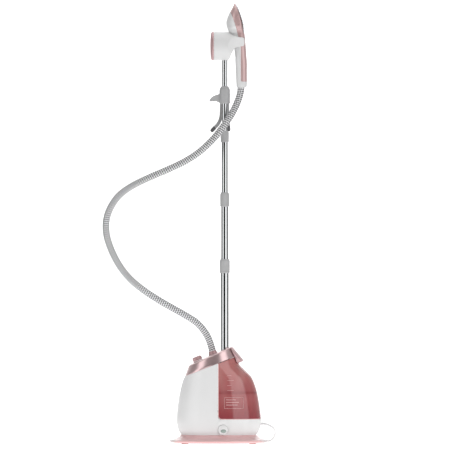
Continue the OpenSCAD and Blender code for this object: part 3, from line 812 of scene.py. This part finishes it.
def make_tank_handle():
    """Lip that the tank is drawn out by, bowed round the deck's end."""
    outline = eased([(48.6, 338.3, 2), (60, 325, 6), (88, 291.3, 2.2), (79, 284.8, 1.5),
                     (73, 283.3, 1), (71.2, 284.4, 1), (63.4, 306.5, 2)], 2, closed=True)
    mid = np.mean(np.array(outline), axis=0)
    half = 47.5
    rings = []
    for t in np.linspace(-1, 1, 41):
        y = half * t
        bow = 0.0045 * y * y
        past = max(0.0, (abs(t) - 0.9) / 0.1)
        shrink = 0.25 + 0.75 * max(0.0, 1 - past ** 2) ** 0.5
        rings.append([(mid[0] + (x - mid[0]) * shrink - bow, y, mid[1] + (z - mid[1]) * shrink)
                      for x, z in outline])
    lip = loft("tank_lip", rings)
    dress(lip, ROSE_DEEP, "tank", ["tank_handle"], angle=50)
    cap = lathe("fill_cap_top", eased([(0, -6), (11.6, -6, 0.6), (11.6, 0.5, 0.3),
                                       (17, 0.5, 0.4), (17, 6.4, 1), (13, 7.2, 1.2),
                                       (12, 5.6, 0.6), (0, 5.4)], 1), FILL_AT, 144,
                flutes=(24, 0.6, 0.6, 6.2))
    dress(cap, ROSE, "tank_cap", ["fill_cap"])
    grip = prism("fill_cap_grip", eased([(-11.5, 5), (11.5, 5), (11.5, 7.2), (-11.5, 7.2)],
                                        1, closed=True), -2, 2)
    grip.data.transform(Matrix.Scale(MM, 4) @ FILL_AT @ Matrix.Scale(1 / MM, 4))
    bevel(grip, 0.6)
    dress(grip, ROSE, "tank_cap")


# ---------- mast ----------

TUBE_R = (14.0, 12.5, 11.0, 9.5)
TUBE_LOW = (40, 540, 772, 990)
TUBE_HIGH = (640, 873, 1089, 1385)
JOINT_TOPS = (646, 879, 1095)
COLLAR_HEIGHTS = (49, 49.5, 40)
MAST_BODIES = ("base", "mast_2", "mast_3", "mast_4")


def make_mast():
    for k in range(4):
        r, low, high = TUBE_R[k], TUBE_LOW[k], TUBE_HIGH[k]
        profile = eased([(r - 1, low), (r, low), (r, high), (r - 1, high)], 0.3,
                        closed=True)
        tube = lathe(f"mast_tube_{k + 1}", profile, place(MAST_X, 0, 0), 128, closed=True)
        dress(tube, CHROME, MAST_BODIES[k], [f"pole_tube_{k + 1}"])
    for k in range(3):
        top, h, r = JOINT_TOPS[k], COLLAR_HEIGHTS[k], TUBE_R[k] + 3.5
        low, bore, lip = top - h, TUBE_R[k] + 0.05, TUBE_R[k + 1] + 0.15
        profile = eased(
            [(bore, low), (r - 1.2, low, 0.3), (r, low + 1.2, 0.6), (r, low + 6, 0.4),
             (r - 0.7, low + 6.6, 0.3), (r - 0.7, low + 8, 0.3), (r, low + 8.6, 0.4),
             (r, top - 7, 2), (r - 2.6, top - 0.4, 0.8), (r - 4.2, top, 0.3), (lip, top),
             (lip, top - 5.5), (bore, top - 5.5)], 0.3, closed=True)
        collar = lathe(f"collar_ring_{k + 1}", profile, place(MAST_X, 0, 0), 216, closed=True,
                       flutes=(36, 0.5, low + 8.8, top - 8.5))
        dress(collar, GREY, f"collar_{k + 1}", [f"lock_collar_{k + 1}"], angle=50)


# ---------- hanger ----------

ARM_Y, ARM_T, PIVOT_Z, PIVOT_DX = 15.8, 8.0, 1203.0, 9.0
LEFT_ARM = [(12, 1203), (9.5, 1186), (8.5, 1152), (5, 1134), (-3, 1118), (-14, 1106)]
RIGHT_ARM = [(30, 1203), (31, 1152), (32, 1134), (33.5, 1112)]


def make_bracket():
    low, top, r = 1190, 1253, 18.5
    dome = [(r * math.cos(a), top - 18.5 + 19.5 * math.sin(a))
            for a in np.linspace(0, math.radians(62), 12)]
    core = lathe("hanger_clamp", [(0, low), (r - 1, low), (r, low + 1)] + dome + [(0, top + 0.5)],
                 place(MAST_X, 0, 0), 96)
    fin = prism("fin", eased(
        [(10, 1228), (0, 1223), (-8.5, 1220.5, 4), (-17, 1217.5, 6), (-26.5, 1211, 6),
         (-33.5, 1201.5, 2), (-31, 1197.8, 1.5), (-26, 1196.8, 1), (-22, 1199, 1),
         (-17, 1196.6, 1), (-12, 1198.8, 1), (-6, 1196.8, 2), (2, 1193.5), (10, 1193)], 5,
        closed=True), -4.6, 4.6)
    bevel(fin, 1.6, 3)
    combine(core, fin, "UNION")
    back = prism("back", [(-40, 1190), (80, 1190), (80, 1260), (-40, 1260)], ARM_Y - 0.4, 60)
    combine(core, back)
    remesh(core, 0.7, 3)
    combine(core, cylinder("bore", 9.6, 1180, 1270, place(MAST_X, 0, 0)))
    dress(core, GREY, "mast_4", ["hanger_bracket"], angle=45)
    for name, x in (("left", MAST_X - PIVOT_DX), ("right", MAST_X + PIVOT_DX)):
        pin = lathe(f"hanger_rivet_{name}",
                    eased([(0, -5), (2, -5), (2, 8.5, 0.1), (4, 8.5, 0.3), (3.6, 10, 1),
                           (0, 10.3)], 0.3), place(x, ARM_Y, PIVOT_Z, turned("X", -90)), 48)
        dress(pin, STEEL, "mast_4", ["hanger_pins"])


def bar_rings(points, width, end_width, thick):
    """Rings of a flat bar with round edges along a line in X and Z, wider at its end."""
    path = even_steps(curve_through([(x, 0, z) for x, z in points], 12), 2.0)
    rings = []
    for j, (p, d) in enumerate(zip(path, ways(path))):
        across = np.array((d[2], 0, -d[0]))
        shrink = 0.75 if j in (0, len(path) - 1) else 1.0
        wide = width + (end_width - width) * j / (len(path) - 1)
        ring = []
        for c, s in squarish(32, 4):
            q = p + across * (c * shrink * wide / 2)
            ring.append((q[0], ARM_Y + ARM_T / 2 + s * shrink * thick / 2, q[2]))
        rings.append(ring)
    return rings


def make_arm(name, points, body):
    pivot = place(points[0][0], ARM_Y + ARM_T / 2, points[0][1], turned("X", 90))
    arm = loft(f"arm_bar_{name}", bar_rings(points, 11, 12.6, ARM_T))
    eye = lathe("eye", eased([(0, -ARM_T / 2), (6.2, -ARM_T / 2, 1),
                              (6.2, ARM_T / 2, 1), (0, ARM_T / 2)], 1), pivot, 48)
    combine(arm, eye, "UNION")
    combine(arm, cylinder("bore", 2.1, -9, 9, pivot, 48))
    dress(arm, GREY, body, [f"hanger_arm_{name}"], angle=45)
    last, before = np.array(points[-1], float), np.array(points[-2], float)
    d = (last - before) / np.linalg.norm(last - before)
    tip = loft(f"arm_sleeve_{name}", round_tip(last, d))
    dress(tip, TIP, body, [f"arm_tip_{name}"], angle=60)


def round_tip(last, d):
    """Rings of a soft rounded sleeve past the end of an arm."""
    across = np.array((d[1], -d[0]))
    rings = []
    for s, scale in ((-1.5, 0.86), (-1, 0.96), (0, 1), (6, 1.02), (12, 1), (16, 0.9),
                     (18.4, 0.68), (19.4, 0.35)):
        centre = last + s * d
        ring = []
        for c, q in squarish(32, 3):
            x, z = centre + across * (c * scale * 6.7)
            ring.append((x, ARM_Y + ARM_T / 2 + q * scale * (ARM_T / 2 + 0.2), z))
        rings.append(ring)
    return rings


# ---------- cradle ----------

DRUM_Z, DRUM_R = 1391.0, 50.0
DRUM_AT = place(-16, 0, DRUM_Z, ALONG_X)
HANDSET_SECTIONS = [
    (1248, 62.5, 82, 98, 15), (1252, 62, 82, 98.5, 17), (1267, 61.3, 82, 99, 18),
    (1306, 59.6, 82, 99, 18.5), (1331, 58.4, 80, 99, 18.5), (1381, 56.4, 77, 95.5, 17.5),
    (1395, 54, 76, 94.5, 17.5), (1412, 46, 74, 93, 18), (1424, 40, 74, 92, 19),
    (1433, 37, 75, 90.8, 21), (1443, 34, 77, 89.5, 32), (1456, 29, 76, 88, 43),
    (1470, 26.5, 74, 86, 45), (1484, 28, 71, 82.5, 43), (1504, 36, 66, 76, 36),
    (1520, 45, 62, 70, 26), (1531, 50.5, 59, 65, 16), (1538, 54, 57.5, 60.5, 8),
    (1541, 55.5, 56.5, 57.5, 3)]


def handset_rings(grow=0.0, reach=0.0):
    """Sections of the handset. reach draws them out along +X, as it leaves the cradle."""
    rings = []
    for z, xl, xm, xr, yd in curve_through(HANDSET_SECTIONS, 5):
        ring = section(xl - grow, z, xr + grow, z, max(yd + grow, 0.5), xm, 144, 2.3)
        if reach:
            ring = [(x + (reach if x > xm - 0.01 else 0), y, q) for x, y, q in ring]
        rings.append(ring)
    return rings


def make_cradle():
    profile = eased([(0, 0), (DRUM_R - 0.2, 0, 1.2), (DRUM_R, 4, 1), (DRUM_R, 50, 1), (0, 50)], 1)
    drum = lathe("cradle_casing", profile, DRUM_AT, 160)
    side = prism("side", eased(
        [(20, 1441, 1), (33, 1441, 8), (49, 1427.5, 10), (66, 1423.2, 10), (87, 1420.5, 5),
         (90.4, 1416, 4), (90.4, 1395, 5), (86, 1390.6, 3), (66, 1388.2, 8), (54, 1383, 8),
         (45.5, 1366, 14), (37, 1344, 6), (30, 1341, 6), (20, 1341, 1)], 6, closed=True), -60, 60)
    plan = prism("plan", eased(
        [(20, -50), (34, -49.6, 6), (48, -41, 14), (66, -33.5, 14), (90.4, -29, 4), (90.4, 29, 4),
         (66, 33.5, 14), (48, 41, 14), (34, 49.6, 6), (20, 50)], 6, closed=True), 1300, 1500, plan=True)
    combine(side, plan, "INTERSECT")
    round_end = cylinder("round", DRUM_R, 0, 90, place(18, 0, DRUM_Z, ALONG_X), 160)
    combine(side, round_end, "INTERSECT")
    combine(drum, side, "UNION")
    combine(drum, loft("leaving", handset_rings(1.3, reach=90)))
    room = prism("room", [(49, 1300), (110, 1300), (110, 1393), (49, 1393)], -9, 9)
    combine(drum, room)
    remesh(drum, 1.0, 5)
    combine(drum, cylinder("face", 60, -30, 0.6, DRUM_AT))
    dress(drum, WHITE, "mast_4", ["cradle_drum", "cradle_yoke"], angle=45)
    ring = lathe("cradle_seam", eased([(40, 0), (DRUM_R - 1.2, 0), (DRUM_R - 1.2, 1.2),
                                       (40, 1.2)], 0.2, closed=True),
                 place(-16.3, 0, DRUM_Z, ALONG_X), 160, closed=True)
    dress(ring, GREY, "mast_4")
    dome = [(DRUM_R - 6.5 + 6.4 * math.cos(a), -4.6 - 6.6 * math.sin(a))
            for a in np.linspace(0, math.pi / 2, 10)]
    profile = [(0, -1), (DRUM_R - 2, -1), (DRUM_R - 0.6, -1.2), (DRUM_R - 0.1, -2.2)] + dome
    profile += [(34, -12.4), (22, -13.4), (10, -13.9), (0, -14)]
    cap = lathe("cradle_cap", profile, DRUM_AT, 160)
    dress(cap, ROSE_DEEP, "mast_4", ["cradle_end_cap"], angle=50)


# ---------- handset ----------

def panel_outline(grow=0.0):
    """Front-view outline of the rose side of the handset."""
    return eased(
        [(32 - grow, 1527), (40.5 - grow, 1512, 5), (52 - grow, 1483, 12), (61 - grow, 1454, 12),
         (69 - grow, 1422, 12), (76 - grow, 1400, 10), (77 - grow, 1380, 6),
         (77 - grow, 1270, 5), (80, 1267 - grow, 3), (120, 1267 - grow), (120, 1550),
         (32, 1550)], 3, closed=True)


def make_handset():
    back = loft("handset_back", handset_rings())
    combine(back, prism("cut", panel_outline(0.25), -80, 80))
    slot_cut = prism("slot", eased([(48, 1347.5), (67, 1347.5), (67, 1390.5),
                                    (48, 1390.5)], 3, closed=True), -7.6, 7.6)
    combine(back, slot_cut)
    bevel(back, 0.45, 2, 35)
    dress(back, WHITE, "handset", ["handset_shell"], angle=35)
    panel = loft("handset_side", handset_rings(-0.05))
    combine(panel, prism("cut", panel_outline(-0.1), -80, 80), "INTERSECT")
    bevel(panel, 0.45, 2, 35)
    dress(panel, ROSE, "handset", ["handset_panel"], angle=35)
    plate_rows = []
    for z, xl, xm, xr, yd in curve_through(HANDSET_SECTIONS, 5):
        if 1436 <= z <= 1539.5:
            plate_rows.append(section(xr - 4.5, z, xr + 0.35, z, max(1.5, yd * 0.97), xr - 2.4,
                                      120, 3.0))
    sole = loft("sole_face", plate_rows)
    bevel(sole, 0.5, 2, 50)
    dress(sole, SOLE, "handset", ["soleplate"], angle=40)
    make_steam_holes()
    trigger = prism("steam_key", eased(
        [(62.5, 1350), (58.4, 1350.3, 2), (56.6, 1357, 6), (54.9, 1381, 5), (56.1, 1388, 2.5),
         (62.5, 1388)], 2, closed=True), -6.9, 6.9)
    bevel(trigger, 1.4, 4)
    dress(trigger, WHITE, "trigger", ["steam_trigger"], angle=45)
    cuff = lathe("hose_ferrule", eased([(11.9, -3), (14.6, -3, 1), (15.2, 3, 1),
                                        (11.9, 3)], 0.5, closed=True),
                 place(79, 0, 1249.2), closed=True)
    dress(cuff, WHITE, "handset")


def make_steam_holes():
    """Rows of steam holes in the soleplate, as small dark eyelets whose dark colour is painted shade
    inside the holes.
    """
    rows = {1453: 4, 1466: 5, 1479: 4, 1492: 4, 1505: 3, 1517: 2}
    table = np.array(HANDSET_SECTIONS, float)
    for k, (z, count) in enumerate(rows.items()):
        xr = np.interp(z, table[:, 0], table[:, 3])
        yd = np.interp(z, table[:, 0], table[:, 4])
        for j in range(count):
            y = (j - (count - 1) / 2) * 1.45 * yd / count
            bulge = 2.4 - 2.75 * (1 - min(1, abs(y) / (0.97 * yd)) ** 3) ** (1 / 3)
            hole = lathe(f"steam_hole_{k}_{j}", eased(
                [(0, 0.2), (1.6, 0.2), (1.6, 0.55, 0.2), (2.3, 0.55, 0.2), (2.3, -0.6),
                 (0, -0.6)], 0.1), place(xr - bulge - 0.1, y, z, ALONG_X), 24)
            # Dark material as painted shade inside each steam hole.
            dress(hole, DARK, "handset")


# ---------- plug and relief ----------

def make_plug():
    at = place(-22, 168, 18.5, ALONG_X)
    body = lathe("plug_grip", eased(
        [(0, 0.6), (16, 0.6, 0.6), (17.6, 0, 0.4), (18.4, 1.6, 1), (18.4, 13, 2), (15.6, 19, 3),
         (10, 27, 4), (7.4, 33, 2), (6, 43.6, 0.8), (0, 44)], 1), at, 96)
    dress(body, SHEATH, "base", ["plug_body"])
    for k, y in enumerate((-9.5, 9.5)):
        pin = lathe(f"plug_pin_{k}", eased([(0, -19), (2.4, -19, 1.6), (2.4, 0.6),
                                            (0, 0.6)], 0.2),
                    place(-22, 168 + y, 18.5, ALONG_X), 48)
        dress(pin, STEEL, "base", ["plug_pins"])
    relief_path = curve_through([(0.1405, 0, 0.070), (0.150, 0, 0.070), (0.161, 0.0015, 0.0693),
                                 (0.171, 0.004, 0.067)], 10)
    rings = []
    for j, (p, d) in enumerate(zip(relief_path, ways(relief_path))):
        side = np.cross(d, (0, 0, 1))
        side /= np.linalg.norm(side)
        up = np.cross(side, d)
        t = j / (len(relief_path) - 1)
        r = (5.0 - 1.1 * t) * (0.9 + 0.1 * math.cos(j * 1.6)) if t > 0.28 else 5.0
        rings.append([p / MM + r * (math.cos(a) * side + math.sin(a) * up)
                      for a in np.linspace(0, 2 * math.pi, 33)[:-1]])
    relief = loft("lead_relief", rings)
    dress(relief, SHEATH, "base", ["strain_relief"], angle=70)


# ---------- inner pieces ----------

INNER = {"tank_bay": WHITE, "chassis_tray": WHITE, "pole_socket": WHITE, "base_screws": STEEL,
         "boiler_body": ALLOY, "boiler_cover": ALLOY, "heating_element": STEEL,
         "steam_tube": SILICONE, "feed_tube": SILICONE, "control_board": BOARD,
         "tank_dock": RUBBER}


def finish_inner():
    """Materials for the frame's own pieces that stay."""
    for name, obj in nodes.items():
        obj.data.materials.clear()
        obj.data.materials.append(INNER.get(name, DARK))


# ---------- studio ----------

def make_sweep():
    """Pale paper: a floor that curves up into a backdrop."""
    half, near, bend, turn_r, top = 1300, -3200, 1400, 900, 5000
    profile = [(near, 0), (bend, 0)]
    profile += [(bend + turn_r * math.sin(a), turn_r - turn_r * math.cos(a))
                for a in np.linspace(0.1, math.pi / 2, 12)]
    profile += [(bend + turn_r, top)]
    verts = [(x, y, z) for y, z in profile for x in (-half, half)]
    faces = [(2 * k, 2 * k + 1, 2 * k + 3, 2 * k + 2) for k in range(len(profile) - 1)]
    floor = raw("studio_sweep", verts, faces)
    paper = surface("sweep_paper", (0.95, 0.95, 0.95), 0.9, vary=0.004)
    glow = paper.node_tree.nodes["Principled BSDF"]
    glow.inputs["Emission Color"].default_value = (1, 1, 1, 1)
    glow.inputs["Emission Strength"].default_value = 0.6
    floor.data.materials.append(paper)
    floor.data.shade_smooth()
    floor.location.z = -0.0004


def make_world():
    """Bands of grey round the object, for its bright parts to reflect. To the camera the
    world is plain white."""
    world = bpy.data.worlds.new("studio")
    bpy.context.scene.world = world
    world.use_nodes = True
    tree = world.node_tree
    split = node(tree, "SeparateXYZ", {"Vector": node(tree, "TexCoord").outputs["Generated"]})
    flip = node(tree, "Math", {0: split.outputs["Y"], 1: -1.0}, operation="MULTIPLY")
    turn = node(tree, "Math", {0: split.outputs["X"], 1: flip.outputs[0]}, operation="ARCTAN2")
    part = node(tree, "MapRange", {"From Min": -math.pi, "From Max": math.pi,
                                   "Value": turn.outputs[0]})
    stops = [(0.0, 0.5), (0.14, 0.5), (0.2, 0.22), (0.39, 0.22), (0.41, 0.03), (0.54, 0.03),
             (0.56, 0.25), (0.68, 0.3), (0.78, 0.25), (0.86, 0.5), (1.0, 0.5)]
    bands = colour_ramp(tree, part.outputs["Result"], [(at, (v, v, v)) for at, v in stops])
    mix = node(tree, "Mix", data_type="RGBA")
    feed(tree, mix, {"Factor": node(tree, "LightPath").outputs["Is Camera Ray"], "A": bands,
                     "B": (1, 1, 1, 1)})
    feed(tree, tree.nodes["Background"], {"Color": mix.outputs["Result"], "Strength": 1.0})


def make_lights():
    for name, at, aim, size, power in (
            ("left strip", (-2.36, -1.85, 2.0), (0, 0, 2.0), (1.7, 5.0), 40),
            ("right strip", (1.97, -2.26, 2.0), (0, 0, 2.0), (2.4, 5.0), 56),
            ("top", (0, 0.2, 4.2), (0, 0, 0), (3.0, 3.0), 34)):
        light = bpy.data.lights.new(name, "AREA")
        light.shape = "RECTANGLE"
        light.size, light.size_y = size
        light.energy = power
        obj = add_object(name, light)
        obj.location = at
        obj.rotation_euler = (Vector(aim) - Vector(at)).to_track_quat("-Z", "Y").to_euler()
    bpy.context.scene.view_settings.view_transform = "Standard"


make_plate()
make_body()
make_tongue()
make_deck()
make_controls()
make_tank()
make_tank_marks()
make_tank_handle()
make_mast()
make_bracket()
make_arm("left", LEFT_ARM, "arm_left")
make_arm("right", RIGHT_ARM, "arm_right")
make_cradle()
make_handset()
make_plug()
finish_inner()
make_sweep()
make_world()
make_lights()
